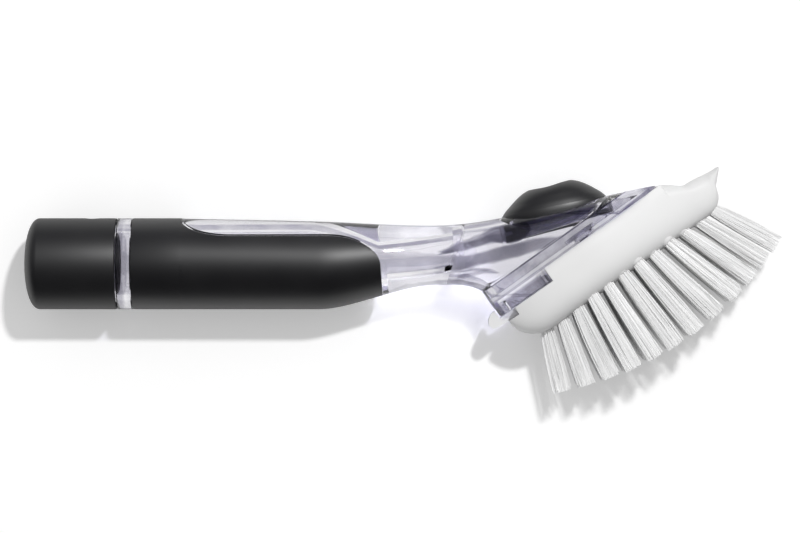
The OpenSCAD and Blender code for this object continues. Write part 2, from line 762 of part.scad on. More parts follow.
clear_body();
grip_sleeve();
cap_skin();
cap_core();
cap_seal();
inlet_valve();
valve_retainer();
diaphragm_ring();
button_diaphragm();
button_dome();
button_core();
base_plate();
outlet_valve();
outlet_retainer();
brush_block();
release_tongue();
tuft_staples();
for (i = [0 : ROWS - 1]) {
    bristle_row(i);
}
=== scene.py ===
import math
import random

import bmesh
import bpy
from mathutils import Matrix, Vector


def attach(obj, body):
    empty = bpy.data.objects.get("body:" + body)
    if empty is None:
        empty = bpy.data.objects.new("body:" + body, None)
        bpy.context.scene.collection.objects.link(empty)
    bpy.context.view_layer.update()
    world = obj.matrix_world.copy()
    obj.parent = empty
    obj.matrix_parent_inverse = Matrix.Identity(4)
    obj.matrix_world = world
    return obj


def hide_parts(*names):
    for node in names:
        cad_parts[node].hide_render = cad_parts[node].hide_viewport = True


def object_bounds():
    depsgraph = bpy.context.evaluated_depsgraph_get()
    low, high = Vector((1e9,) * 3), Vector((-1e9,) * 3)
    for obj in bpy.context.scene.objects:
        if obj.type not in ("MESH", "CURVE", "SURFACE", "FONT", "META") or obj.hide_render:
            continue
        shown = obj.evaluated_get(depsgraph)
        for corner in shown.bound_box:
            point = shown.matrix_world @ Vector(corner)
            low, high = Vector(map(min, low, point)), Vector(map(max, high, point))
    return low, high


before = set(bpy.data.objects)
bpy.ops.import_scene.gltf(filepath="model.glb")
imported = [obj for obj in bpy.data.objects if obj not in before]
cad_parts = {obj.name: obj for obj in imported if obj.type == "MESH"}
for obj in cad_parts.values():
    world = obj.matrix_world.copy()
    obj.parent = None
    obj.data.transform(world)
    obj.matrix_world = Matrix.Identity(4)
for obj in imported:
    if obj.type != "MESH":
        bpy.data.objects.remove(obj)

BOX_AT_LOAD = [list(c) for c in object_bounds()]
MM = 0.001

# Sizes in mm, as in the CAD source: x from the cap to the head, y toward the button
BARREL_R = 16.4
GRIP_WALL = 1.6
BOND = 0.05
COLLAR = 8.75
BAND_X = -14.35
NECK_END = -30.95
CAP_END = -47.65
CAP_ROUND = 5.5
TANK_R = 11.2
TANK_FRONT = 58.0
GRIP_FRONT = 80.4
WAIST_X, WAIST_TOP, WAIST_LOW, WAIST_W = 98.0, 13.7, 7.65, 11.3
WALL = 2.2
HEAD = (120.0, -14.7)
ANGLE = math.radians(35.5)
SLOPE = math.radians(11.8)
WEDGE = ANGLE - SLOPE
FLANGE_LEN, HEAD_W, STRIP_H, BASE_T, TIP_T = 72.8, 34.0, 5.4, 1.8, 0.6
ROUND_N, SQUARE_N = 2, 3
U = (math.cos(ANGLE), math.sin(ANGLE))
V = (-math.sin(ANGLE), math.cos(ANGLE))


def head(u, v, w):
    # the head's own directions: u along the deck, v up from it, w to the side
    return (HEAD[0] + u * U[0] + v * V[0], HEAD[1] + u * U[1] + v * V[1], w)


def ease(t):
    t = min(1.0, max(0.0, t))
    return t * t * (3 - 2 * t)


def mix(a, b, t):
    return a + (b - a) * t


def power(c, n):
    # a cosine or sine bent so that a circle becomes a superellipse of power n
    return math.copysign(abs(c) ** (2.0 / n), c) if abs(c) > 1e-12 else 0.0


def curve(x, x0, y0, m0, x1, y1, m1):
    # a cubic from (x0, y0) with slope m0 to (x1, y1) with slope m1
    d = x1 - x0
    t = (x - x0) / d
    t2, t3 = t * t, t * t * t
    return ((2 * t3 - 3 * t2 + 1) * y0 + (t3 - 2 * t2 + t) * d * m0
            + (3 * t2 - 2 * t3) * y1 + (t3 - t2) * d * m1)


TIP = (HEAD[0] + FLANGE_LEN * U[0], HEAD[1] + FLANGE_LEN * U[1])
PLANE_X = HEAD[0] + 4


def plane_y(x):
    # the plane of the housing's top, which rises to the flange's tip
    return TIP[1] + TIP_T - (TIP[0] - x) * math.tan(SLOPE)


TOP_START, TOP_SLOPE = BARREL_R - 0.1, -0.025


def top_y(x):
    mid_x, mid_y = mix(COLLAR, WAIST_X, 0.53), mix(BARREL_R, WAIST_TOP, 0.4)
    if x <= COLLAR:
        return TOP_START
    if x <= mid_x:
        return curve(x, COLLAR, TOP_START, -0.02, mid_x, mid_y, TOP_SLOPE)
    if x <= WAIST_X:
        return curve(x, mid_x, mid_y, TOP_SLOPE, WAIST_X, WAIST_TOP, 0)
    if x <= PLANE_X:
        return curve(x, WAIST_X, WAIST_TOP, 0, PLANE_X, plane_y(PLANE_X), math.tan(SLOPE))
    return plane_y(x)


BELLY_X, BELLY_Y, BELLY_SLOPE = WAIST_X - 22, -WAIST_LOW - 5.2, 0.28
FAN_X = WAIST_X + 3
FOOT, FOOT_SLOPE = head(0.4, STRIP_H, 0)[:2], -0.55


def low_y(x):
    if x <= TANK_FRONT:
        return -BARREL_R
    if x <= BELLY_X:
        return curve(x, TANK_FRONT, -BARREL_R, 0, BELLY_X, BELLY_Y, BELLY_SLOPE)
    if x <= FAN_X:
        return curve(x, BELLY_X, BELLY_Y, BELLY_SLOPE, FAN_X, -WAIST_LOW, 0)
    return curve(x, FAN_X, -WAIST_LOW, 0, FOOT[0], FOOT[1], FOOT_SLOPE)


def half_w(x):
    if x <= TANK_FRONT:
        return BARREL_R
    if x >= WAIST_X:
        return WAIST_W
    return curve(x, TANK_FRONT, BARREL_R, 0, WAIST_X, WAIST_W, 0)


CREST_U = FLANGE_LEN - (STRIP_H - TIP_T) / math.tan(WEDGE)
CREST = head(CREST_U, STRIP_H, 0)[:2]


def ring(p, q, w, n, count=96):
    # a superellipse of power n across the line from q to p, w to each side
    mid_x, mid_y = (p[0] + q[0]) / 2, (p[1] + q[1]) / 2
    half_x, half_y = (p[0] - q[0]) / 2, (p[1] - q[1]) / 2
    out = []
    for i in range(count):
        t = 2 * math.pi * i / count
        k = power(math.cos(t), n)
        out.append((mid_x + half_x * k, mid_y + half_y * k, w * power(math.sin(t), n)))
    return out


def barrel_ring(x, inset):
    return ring((x, top_y(x) - inset), (x, low_y(x) + inset), half_w(x) - inset, ROUND_N)


def toward(p, q, d):
    # the point d from p on the way to q
    n = math.hypot(q[0] - p[0], q[1] - p[1])
    return (p[0] + (q[0] - p[0]) * d / n, p[1] + (q[1] - p[1]) * d / n)


def fan_ring(s, inset):
    # s runs from the round waist (0) to the housing's squarer rim (1)
    xt, xb = mix(FAN_X, CREST[0], s), mix(FAN_X, FOOT[0], s)
    p, q = (xt, top_y(xt)), (xb, low_y(xb))
    lean = math.atan2(p[1] - q[1], p[0] - q[0]) - SLOPE
    w = mix(WAIST_W, 0.97 * HEAD_W / 2, ease(s)) - inset
    n = mix(ROUND_N, SQUARE_N, ease(1.6 * s))
    return ring(toward(p, q, inset / math.sin(lean)), toward(q, p, inset), w, n)


# Mesh tools

def make(name, points, faces, smooth_angle=32):
    mesh = bpy.data.meshes.new(name)
    mesh.from_pydata([(p[0] * MM, p[1] * MM, p[2] * MM) for p in points], [], faces)
    bm = bmesh.new()
    bm.from_mesh(mesh)
    bmesh.ops.recalc_face_normals(bm, faces=bm.faces)
    bm.to_mesh(mesh)
    bm.free()
    obj = bpy.data.objects.new(name, mesh)
    bpy.context.scene.collection.objects.link(obj)
    shade(obj, smooth_angle)
    return obj


def shade(obj, angle):
    obj.data.polygons.foreach_set("use_smooth", [True] * len(obj.data.polygons))
    obj.data.set_sharp_from_angle(angle=math.radians(angle))


def tube(start, n, rows):
    # the side faces between rows + 1 rings of n points each
    return [[start + i * n + j, start + i * n + (j + 1) % n,
             start + (i + 1) * n + (j + 1) % n, start + (i + 1) * n + j]
            for i in range(rows) for j in range(n)]


def loft(name, rings, smooth_angle=32):
    n, last = len(rings[0]), len(rings) - 1
    points = [p for r in rings for p in r]
    faces = tube(0, n, last) + [list(range(n)), [last * n + j for j in range(n)]]
    return make(name, points, faces, smooth_angle)


def lathe(name, profile, place=None, count=128, smooth_angle=32):
    # profile: (radius, x) pairs from axis to axis
    points, rows = [], []
    for r, x in profile:
        if r < 1e-6:
            rows.append([len(points)])
            points.append((x, 0, 0))
        else:
            rows.append([len(points) + k for k in range(count)])
            turn = [2 * math.pi * k / count for k in range(count)]
            points += [(x, r * math.cos(t), r * math.sin(t)) for t in turn]
    faces = []
    for a, b in zip(rows, rows[1:]):
        for k in range(count):
            m = (k + 1) % count
            if len(a) == 1 and len(b) > 1:
                faces.append([a[0], b[k], b[m]])
            elif len(b) == 1 and len(a) > 1:
                faces.append([a[k], b[0], a[m]])
            elif len(a) > 1:
                faces.append([a[k], b[k], b[m], a[m]])
    if place:
        points = [place(p) for p in points]
    return make(name, points, faces, smooth_angle)


def walls(n):
    # the sides and both ends of a prism whose n low points come before its n high ones
    sides = [[i, (i + 1) % n, n + (i + 1) % n, n + i] for i in range(n)]
    return sides + [list(range(n)), list(range(n, 2 * n))]


def prism(name, outline, low, high, place):
    points = [place((a, h, b)) for h in (low, high) for a, b in outline]
    return make(name, points, walls(len(outline)))


def side_prism(name, outline, depth):
    points = [(a, b, w) for w in (-depth, depth) for a, b in outline]
    return make(name, points, walls(len(outline)))


BOX_FACES = [[0, 1, 3, 2], [4, 6, 7, 5], [0, 4, 5, 1], [2, 3, 7, 6], [0, 2, 6, 4], [1, 5, 7, 3]]


def head_box(name, u0, u1, v0, v1, w0, w1):
    corners = [head(u, v, w) for u in (u0, u1) for v in (v0, v1) for w in (w0, w1)]
    return make(name, corners, BOX_FACES)


def bake(obj):
    # the modifiers' result becomes the mesh
    graph = bpy.context.evaluated_depsgraph_get()
    mesh = bpy.data.meshes.new_from_object(obj.evaluated_get(graph))
    obj.modifiers.clear()
    old = obj.data
    obj.data = mesh
    bpy.data.meshes.remove(old)


def combine(obj, tool, kind="DIFFERENCE", smooth_angle=32):
    m = obj.modifiers.new("cut", "BOOLEAN")
    m.operation = kind
    m.object = tool
    m.solver = "EXACT"
    bake(obj)
    bpy.data.objects.remove(tool)
    shade(obj, smooth_angle)
    return obj


def bevel(obj, width, segments, angle):
    m = obj.modifiers.new("bevel", "BEVEL")
    m.width = width * MM
    m.segments = segments
    m.limit_method = "ANGLE"
    m.angle_limit = math.radians(angle)
    m.use_clamp_overlap = True
    bake(obj)
    shade(obj, 40)


def superellipse(a, b, n, count=128):
    turn = [2 * math.pi * i / count for i in range(count)]
    return [(a * power(math.cos(t), n), b * power(math.sin(t), n)) for t in turn]


# Materials

def material(name):
    m = bpy.data.materials.new(name)
    m.use_nodes = True
    nodes, links = m.node_tree.nodes, m.node_tree.links
    return m, nodes, links, nodes["Principled BSDF"]


def noise(nodes, links, scale, detail=3.0, rough=0.5):
    coords = nodes.new("ShaderNodeTexCoord")
    tex = nodes.new("ShaderNodeTexNoise")
    tex.inputs["Scale"].default_value = scale
    tex.inputs["Detail"].default_value = detail
    tex.inputs["Roughness"].default_value = rough
    links.new(coords.outputs["Object"], tex.inputs["Vector"])
    return tex.outputs["Fac"]


def ramp(nodes, links, fac, low, high, lo=0.3, hi=0.7):
    r = nodes.new("ShaderNodeValToRGB")
    r.color_ramp.elements[0].position = lo
    r.color_ramp.elements[1].position = hi
    r.color_ramp.elements[0].color = (*low, 1)
    r.color_ramp.elements[1].color = (*high, 1)
    links.new(fac, r.inputs["Fac"])
    return r.outputs["Color"]


def paint(nodes, links, bsdf, fac, low, high):
    links.new(ramp(nodes, links, fac, low, high), bsdf.inputs["Base Color"])


def surface_mix(nodes, links, fac, shader, other):
    # the surface is shader where fac is 0 and other where it is 1
    blend = nodes.new("ShaderNodeMixShader")
    links.new(fac, blend.inputs["Fac"])
    links.new(shader, blend.inputs[1])
    links.new(other, blend.inputs[2])
    links.new(blend.outputs["Shader"], nodes["Material Output"].inputs["Surface"])


def bump(nodes, links, fac, strength, distance):
    b = nodes.new("ShaderNodeBump")
    b.inputs["Strength"].default_value = strength
    b.inputs["Distance"].default_value = distance
    links.new(fac, b.inputs["Height"])
    return b.outputs["Normal"]


def rough_map(nodes, links, fac, low, high):
    r = nodes.new("ShaderNodeMapRange")
    r.inputs["To Min"].default_value = low
    r.inputs["To Max"].default_value = high
    links.new(fac, r.inputs["Value"])
    return r.outputs["Result"]


def soft_touch(name, low, high, r0, r1, gloss=0.5):
    m, nodes, links, bsdf = material(name)
    wide = noise(nodes, links, 60, 4)
    fine = noise(nodes, links, 3500, 2)
    paint(nodes, links, bsdf, wide, low, high)
    links.new(rough_map(nodes, links, wide, r0, r1), bsdf.inputs["Roughness"])
    links.new(bump(nodes, links, fine, 0.12, 0.00004), bsdf.inputs["Normal"])
    bsdf.inputs["Specular IOR Level"].default_value = gloss
    bsdf.inputs["Sheen Weight"].default_value = 0.02
    bsdf.inputs["Sheen Roughness"].default_value = 0.5
    return m


def feed(links, socket, v):
    # a number is written into the socket, anything else is linked to it
    if isinstance(v, (int, float)):
        socket.default_value = v
    else:
        links.new(v, socket)


def math_node(nodes, links, kind, a, b):
    n = nodes.new("ShaderNodeMath")
    n.operation = kind
    feed(links, n.inputs[0], a)
    feed(links, n.inputs[1], b)
    return n.outputs[0]


def span(nodes, links, value, a0, a1, b0=0.0, b1=1.0, kind="LINEAR"):
    # value mapped from a0..a1 to b0..b1
    r = nodes.new("ShaderNodeMapRange")
    r.interpolation_type = kind
    keys = ("Value", "From Min", "From Max", "To Min", "To Max")
    for key, v in zip(keys, (value, a0, a1, b0, b1)):
        feed(links, r.inputs[key], v)
    return r.outputs["Result"]


def along(nodes, links, x, points):
    # a smooth curve through (x, value) points, in mm; the values mustn't all be the same
    x0, x1 = points[0][0], points[-1][0]
    v0, v1 = min(p[1] for p in points), max(p[1] for p in points)
    n = nodes.new("ShaderNodeFloatCurve")
    pts = n.mapping.curves[0].points
    while len(pts) < len(points):
        pts.new(0.5, 0.5)
    for spot, (px, pv) in zip(pts, points):
        spot.location = ((px - x0) / (x1 - x0), (pv - v0) / (v1 - v0))
    n.mapping.update()
    links.new(span(nodes, links, x, x0, x1), n.inputs["Value"])
    return span(nodes, links, n.outputs["Value"], 0, 1, v0, v1)


def streak(nodes, links, x, y, centre, half, soft, strength):
    # 1 within half of the centre line, fading over soft; a half below 0 ends it
    line = along(nodes, links, x, centre)
    off = math_node(nodes, links, "ABSOLUTE", math_node(nodes, links, "SUBTRACT", y, line), 0)
    depth = math_node(nodes, links, "SUBTRACT", along(nodes, links, x, half), off)
    mask = span(nodes, links, depth, -soft, soft, kind="SMOOTHSTEP")
    return math_node(nodes, links, "MULTIPLY", mask, strength)


def body_painted_reflections(nodes, links, x, y, y0):
    # painted reflections: dark bands that stand in for reflections and refraction in the clear body; y
    # sways a little from the straight y0
    def one(centre, half, soft, strength, across=y):
        return streak(nodes, links, x, across, centre, half, soft, strength)

    def fading(points):
        return along(nodes, links, x, points)

    low = [(a, low_y(a) + 0.9) for a in range(84, 123, 3)]
    top = [(a, top_y(a)) for a in range(16, 134, 6)]
    under = [(a, b - 1.7) for a, b in top]
    wedge = one([(100, 3.8), (102.7, 4), (108.4, 5.8), (115.8, 8.45), (121, 10.2), (128, 11.2),
                 (134, 12.6)],
                [(99, -1), (102, 0.3), (108.4, 1.4), (115.8, 1.9), (122, 2.6), (128, 3.4),
                 (134, -1)], 0.35, 0.68)
    middle = one([(83, 0.2), (89.6, 0.25), (102.7, -0.35), (108.4, -0.15), (115.8, 1.7),
                  (128, 4.7), (146, 9.4)],
                 [(83, 3.8), (89.6, 3.7), (102.7, 3.3), (108.4, 2.9), (115.8, 2.4), (128, 2.5),
                  (140, 1.6), (146, -1)], 0.6,
                 fading([(83, 0.32), (104, 0.34), (110, 0.56), (128, 0.54), (146, 0.2)]))
    lower = one([(107, -4.7), (110, -4.1), (114, -3.3), (118, -3.1), (124, -3.7)],
                [(107, -1), (109, 0.3), (114, 0.6), (119, 0.5), (124, -1)], 0.3, 0.6)
    low_edge = one(low, [(84, 0.5), (98, 0.7), (104, 0.9), (118, 0.8), (123, 0.2)], 0.3,
                   fading([(84, 0.36), (98, 0.45), (104, 0.85), (122, 0.8)]))
    top_edge = one(top, [(16, 0.3), (80, 0.4), (128, 0.5), (134, 0.3)], 0.2, 0.85, y0)
    under_top = one(under, [(16, 0.5), (80, 0.9), (120, 1.3), (134, 0.4)], 0.5, 0.16)
    thin = one([(83, 9.4), (95, 9.3), (104, 10.3), (113, 12.3)],
               [(83, 0.2), (95, 0.25), (108, 0.2), (113, -0.5)], 0.2, 0.3)
    window = one([(10, 12), (82, 12.01), (90, 12)], [(10, 8), (76, 7.9), (90, -1)], 1.0, 0.04, y0)
    return [wedge, middle, lower, low_edge, top_edge, under_top, thin, window]


def deck_painted_reflections(nodes, links, vector, mottle):
    # painted refraction shade on the flange: a mottled dark band, dark lines along its edges, and dark
    # patches at the tip, the end face and the lug
    def product(a, b):
        return math_node(nodes, links, "MULTIPLY", a, b)

    side = nodes.new("ShaderNodeVectorMath")
    side.operation = "SUBTRACT"
    side.inputs[1].default_value = (HEAD[0], HEAD[1], 0)
    links.new(vector, side.inputs[0])
    ways = []
    for way in (U, V):
        dot = nodes.new("ShaderNodeVectorMath")
        dot.operation = "DOT_PRODUCT"
        dot.inputs[1].default_value = (way[0], way[1], 0)
        links.new(side.outputs["Vector"], dot.inputs[0])
        ways.append(dot.outputs["Value"])
    u, v = ways
    half = STRIP_H / 2
    masks = [streak(nodes, links, u, v, [(-2, half), (74, half + 0.01)],
                    [(-2, half), (74, half - 0.01)], 0.3, product(mottle, 0.36))]
    for level, strength in ((STRIP_H - 0.1, 1.0), (0.0, 0.9), (BASE_T, 0.3)):
        centre = [(-2, level), (56, level + 0.01), (74, level + 0.01)]
        masks.append(streak(nodes, links, u, v, centre, [(-2, 0.2), (56, 0.22), (74, 0.2)],
                            0.22, strength))
    tip = product(span(nodes, links, u, 64.5, 68.5), span(nodes, links, v, -2, -0.5))
    tip_line = streak(nodes, links, u, v, [(50, 0.4), (62, 0.41), (74, 0.5)],
                      [(50, -0.6), (60, 0.4), (74, 0.9)], 0.25, 0.95)
    end_face = product(span(nodes, links, u, 2.8, 2.0), span(nodes, links, v, 0.3, -0.4))
    lug = product(product(span(nodes, links, v, -0.2, -1.2), mottle),
                  span(nodes, links, u, 18.6, 19.6, 0.27, 0.5))
    return masks + [tip, tip_line, end_face, lug]


def neck_painted_shade(nodes, links, x, y, mottle):
    # painted shade: two dark bands round the barrel, behind the cap's edge and before the grip's
    faint = math_node(nodes, links, "MULTIPLY", mottle, 0.27)
    return [streak(nodes, links, y, x, [(-40, at), (40, at + 0.01)],
                   [(-40, wide), (40, wide + 0.01)], 0.3, strength)
            for at, wide, strength in ((-13.0, 1.25, 0.5), (-9.9, 0.8, faint))]


def clear_plastic():
    m, nodes, links, bsdf = material("clear_plastic_look")
    bsdf.inputs["Transmission Weight"].default_value = 1.0
    bsdf.inputs["IOR"].default_value = 1.5
    fine = noise(nodes, links, 90, 2)
    pale = ramp(nodes, links, fine, (0.955, 0.95, 0.985), (0.975, 0.97, 0.995))
    coords = nodes.new("ShaderNodeTexCoord")
    mm = nodes.new("ShaderNodeVectorMath")
    mm.operation = "SCALE"
    mm.inputs["Scale"].default_value = 1 / MM
    links.new(coords.outputs["Object"], mm.inputs[0])
    split = nodes.new("ShaderNodeSeparateXYZ")
    links.new(mm.outputs["Vector"], split.inputs[0])
    x, y0 = split.outputs["X"], split.outputs["Y"]
    sway = span(nodes, links, noise(nodes, links, 160, 2), 0.3, 0.7, -0.45, 0.45)
    y = math_node(nodes, links, "ADD", y0, sway)
    mottle = span(nodes, links, noise(nodes, links, 190, 3), 0.36, 0.64, 0.45, 1.1)
    # painted reflections and shade: these masks darken the plastic's colour where the clear wall would
    # show reflected and refracted dark surroundings
    masks = body_painted_reflections(nodes, links, x, y, y0)
    masks += deck_painted_reflections(nodes, links, mm.outputs["Vector"], mottle)
    masks += neck_painted_shade(nodes, links, x, y0, mottle)
    painted_shade_mask = masks[0]
    for mask in masks[1:]:
        painted_shade_mask = math_node(nodes, links, "MAXIMUM", painted_shade_mask, mask)
    patch = span(nodes, links, noise(nodes, links, 110, 3), 0.36, 0.64, 0.72, 1.05)
    painted_shade_mask = math_node(nodes, links, "MULTIPLY", painted_shade_mask, patch)
    tint_and_painted_shade = nodes.new("ShaderNodeMix")
    tint_and_painted_shade.data_type = "RGBA"
    links.new(painted_shade_mask, tint_and_painted_shade.inputs[0])
    links.new(pale, tint_and_painted_shade.inputs[6])
    # the slate violet of the painted reflections and shade
    tint_and_painted_shade.inputs[7].default_value = (0.055, 0.045, 0.13, 1)
    links.new(tint_and_painted_shade.outputs[2], bsdf.inputs["Base Color"])
    links.new(rough_map(nodes, links, fine, 0.0, 0.03), bsdf.inputs["Roughness"])
    links.new(bump(nodes, links, fine, 0.05, 0.0003), bsdf.inputs["Normal"])
    # light passes straight through, so that the plastic's shadow stays pale
    path = nodes.new("ShaderNodeLightPath")
    see = nodes.new("ShaderNodeBsdfTransparent")
    see.inputs["Color"].default_value = (0.82, 0.82, 0.87, 1)
    surface_mix(nodes, links, path.outputs["Is Shadow Ray"], bsdf.outputs["BSDF"],
                see.outputs["BSDF"])
    return m


def inside_clear():
    # the small valve pieces: thin clear skins that hardly bend the light
    m, nodes, links, bsdf = material("inside_clear_look")
    wide = noise(nodes, links, 300, 2)
    paint(nodes, links, bsdf, wide, (0.72, 0.71, 0.76), (0.82, 0.81, 0.86))
    bsdf.inputs["Alpha"].default_value = 0.22
    bsdf.inputs["Roughness"].default_value = 0.15
    return m


def white_plastic():
    m, nodes, links, bsdf = material("white_plastic_look")
    wide = noise(nodes, links, 40, 3)
    paint(nodes, links, bsdf, wide, (0.79, 0.79, 0.79), (0.815, 0.815, 0.812))
    links.new(rough_map(nodes, links, wide, 0.42, 0.52), bsdf.inputs["Roughness"])
    bsdf.inputs["Specular IOR Level"].default_value = 0.35
    links.new(bump(nodes, links, noise(nodes, links, 900, 2), 0.03, 0.00005), bsdf.inputs["Normal"])
    bsdf.inputs["Subsurface Weight"].default_value = 0.08
    bsdf.inputs["Subsurface Radius"].default_value = (0.002, 0.002, 0.002)
    return m


def filament():
    m, nodes, links, bsdf = material("filament_look")
    wide = noise(nodes, links, 500, 2)
    paint(nodes, links, bsdf, wide, (0.95, 0.95, 0.95), (0.99, 0.99, 0.99))
    bsdf.inputs["Roughness"].default_value = 0.4
    # nylon filaments let part of the light through, so they shade each other only lightly
    path = nodes.new("ShaderNodeLightPath")
    soft = math_node(nodes, links, "MULTIPLY", path.outputs["Is Diffuse Ray"], 0.93)
    hard = math_node(nodes, links, "MULTIPLY", path.outputs["Is Shadow Ray"], 0.92)
    part = math_node(nodes, links, "MAXIMUM", soft, hard)
    see = nodes.new("ShaderNodeBsdfTransparent")
    surface_mix(nodes, links, part, bsdf.outputs["BSDF"], see.outputs["BSDF"])
    return m


def silicone():
    m, nodes, links, bsdf = material("silicone_look")
    wide = noise(nodes, links, 300, 2)
    paint(nodes, links, bsdf, wide, (0.62, 0.62, 0.66), (0.72, 0.72, 0.76))
    bsdf.inputs["Roughness"].default_value = 0.5
    bsdf.inputs["Subsurface Weight"].default_value = 0.2
    bsdf.inputs["Subsurface Radius"].default_value = (0.001, 0.001, 0.001)
    return m


def steel():
    m, nodes, links, bsdf = material("steel_look")
    wide = noise(nodes, links, 2500, 2)
    paint(nodes, links, bsdf, wide, (0.5, 0.5, 0.52), (0.66, 0.66, 0.68))
    bsdf.inputs["Metallic"].default_value = 1.0
    bsdf.inputs["Roughness"].default_value = 0.32
    return m


BLACK_LOW, BLACK_HIGH = (0.0045, 0.0045, 0.005), (0.0075, 0.0075, 0.008)
CLEAR = clear_plastic()
INSIDE = inside_clear()
NAVY = soft_touch("diaphragm_look", (0.010, 0.009, 0.024), (0.016, 0.014, 0.036), 0.3, 0.4)
# painted light: a pale grey for the black sleeve's inside faces, seen through the clear wall
PAINTED_LIGHT_INSIDE = soft_touch("sleeve_inside_painted_light_look", (0.62, 0.61, 0.66), (0.68, 0.67, 0.72), 0.4, 0.5)
SOFT = soft_touch("soft_black_look", BLACK_LOW, BLACK_HIGH, 0.4, 0.48, 0.8)
CAP = soft_touch("cap_black_look", BLACK_LOW, BLACK_HIGH, 0.44, 0.52, 0.68)
BUTTON = soft_touch("button_black_look", (0.004, 0.004, 0.0045), (0.0065, 0.0065, 0.007),
                    0.38, 0.44, 0.8)
HARD = soft_touch("hard_black_look", (0.01, 0.01, 0.012), (0.016, 0.016, 0.018), 0.3, 0.4)
WHITE = white_plastic()
BRISTLE = filament()
SILICONE = silicone()
STEEL = steel()


def dress(obj, mat, body, slot, *nodes):
    obj.data.materials.clear()
    obj.data.materials.append(mat)
    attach(obj, body)
    if nodes:
        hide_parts(*nodes)
    return obj


# The hollow clear handle

FAR = 60
CURVE_BACK, CURVE_FRONT, WINDOW_Y = 18, 18.9, 10


def bare_outline(g):
    # side view of what the grip leaves bare, g wider along the grip's edge
    back_c, front_c = (COLLAR + CURVE_BACK, BARREL_R - 0.3), (GRIP_FRONT - CURVE_FRONT, -1)
    back_b, front_b = back_c[1] - WINDOW_Y, WINDOW_Y - front_c[1]
    pts = [(COLLAR - g, FAR)]
    for i in range(31):
        t = math.radians(180 + 3 * i)
        pts.append((back_c[0] + (CURVE_BACK + g) * math.cos(t),
                    back_c[1] + (back_b + g) * math.sin(t)))
    for i in range(37):
        t = math.radians(90 - 2.5 * i)
        pts.append((front_c[0] + (CURVE_FRONT - g) * math.cos(t),
                    front_c[1] + (front_b - g) * math.sin(t)))
    edge = GRIP_FRONT + 0.8 - g
    return pts + [(edge, -12), (edge, -FAR)]


def grip_rings(inset, more=0):
    # the grip's length, longer by more at both ends
    last = GRIP_FRONT + 3 + more
    xs = [COLLAR - more] + [COLLAR + (last - COLLAR) * i / 48 for i in range(1, 49)]
    return [barrel_ring(x, inset) for x in xs]


def outer_rings():
    rings = [barrel_ring(mix(COLLAR - 0.4, 100.0, i / 60), 0) for i in range(61)]
    return rings + [fan_ring(i / 44, 0) for i in range(45)]


def covered():
    # side view of what the grip covers
    return [(COLLAR - 6, FAR)] + bare_outline(0) + [(COLLAR - 6, -FAR)]


BUTTON_X = 142.7
BUTTON_Y = plane_y(BUTTON_X)


def button_place(p):
    # a along the housing's top plane, h up from it, w to the side
    a, h, w = p
    return (BUTTON_X + a * math.cos(SLOPE) - h * math.sin(SLOPE),
            BUTTON_Y + a * math.sin(SLOPE) + h * math.cos(SLOPE), w)


HALF_L, BTN_W, BTN_N, GAP = 19.1, 24.0, 2.3, 0.35
TRAVEL = 3.0
BTN_V = (BUTTON_X - HEAD[0]) * V[0] + (BUTTON_Y - HEAD[1]) * V[1]


def over_base(a, v):
    # the height over the button's plane, at a along it, of the point at v over the deck
    return (v - BTN_V + a * math.sin(WEDGE)) / math.cos(WEDGE)


# the membrane and the gap it is bonded with
# the membrane's thickness and the gap it is bonded with
MEMBRANE_DROP = 1.05
PLUNGER_REAR = -6.9
PLUNGER_FRONT = over_base(HALF_L - 2.8, BASE_T + TRAVEL * math.cos(WEDGE) + 0.3) + 0.2
RING_REAR = PLUNGER_REAR - MEMBRANE_DROP - 1.6
RING_FRONT = over_base(HALF_L, BASE_T + 0.45)


def button_prism(name, grow, low, high):
    outline = superellipse(HALF_L + grow, BTN_W / 2 + grow, BTN_N)
    return prism(name, outline, low, high, button_place)


def slanted(name, grow, rear0, front0, rear1, front1):
    # a prism round the button between two sloped planes given at its rear and front ends
    outline = superellipse(HALF_L + grow, BTN_W / 2 + grow, BTN_N)
    return loft(name, [[button_place((a, mix(rear, front, a / (2 * HALF_L) + 0.5), b))
                        for a, b in outline]
                       for rear, front in ((rear0, front0), (rear1, front1))])


WELL_TOP = 9


def well(name):
    # the room for the button's membrane and its ring
    return slanted(name, GAP + 1.3, RING_REAR, RING_FRONT, WELL_TOP, WELL_TOP)


def flange_solid(name, v0, v1, inset=0.0, drop=0.0, shorten=0.0):
    outline = [(FLANGE_LEN / 2 + a, b) for a, b in
               superellipse(FLANGE_LEN / 2 - inset - shorten, HEAD_W / 2 - inset, SQUARE_N, 192)]
    obj = prism(name, outline, v0, v1, lambda p: head(*p))
    # everything above the housing's top plane, moved in by drop, is cut away
    cos_w, sin_w = math.cos(WEDGE), math.sin(WEDGE)
    corners = [head(FLANGE_LEN + s * cos_w + t * sin_w, TIP_T - s * sin_w + t * cos_w, w)
               for s in (-90, 30) for t in (-drop, 40) for w in (-40, 40)]
    return combine(obj, make("plane_cut", corners, BOX_FACES))


THROAT_R, POCKET_R, POCKET_LEN = 4.6, 6, 9
THROAT_X, THROAT_Y, TILT = 80.0, 1, math.radians(5.7)
SEAT = 27.0 / math.cos(TILT)


def throat_place(p):
    x, y, z = p
    return (THROAT_X + x * math.cos(TILT) - y * math.sin(TILT),
            THROAT_Y + x * math.sin(TILT) + y * math.cos(TILT), z)


PITCH, TURN_STEPS, FADE_STEPS = 4.0, 72, 20


def thread(name, x0, r_root, r_crest, turns):
    steps = int(turns * TURN_STEPS)
    rings = []
    for i in range(steps + 1):
        t, x = 2 * math.pi * i / TURN_STEPS, x0 + PITCH * i / TURN_STEPS
        fade = min(1, i / FADE_STEPS, (steps - i) / FADE_STEPS)
        crest = mix(r_root + 0.02, r_crest, fade)
        rings.append([(x + dx, r * math.cos(t), r * math.sin(t))
                      for dx, r in ((0.8, r_root), (0.48, crest), (-0.48, crest), (-0.8, r_root))])
    return loft(name, rings, 50)


NECK_R, THREAD_ROOT, THREAD_CREST = 13, 12.7, 14.0


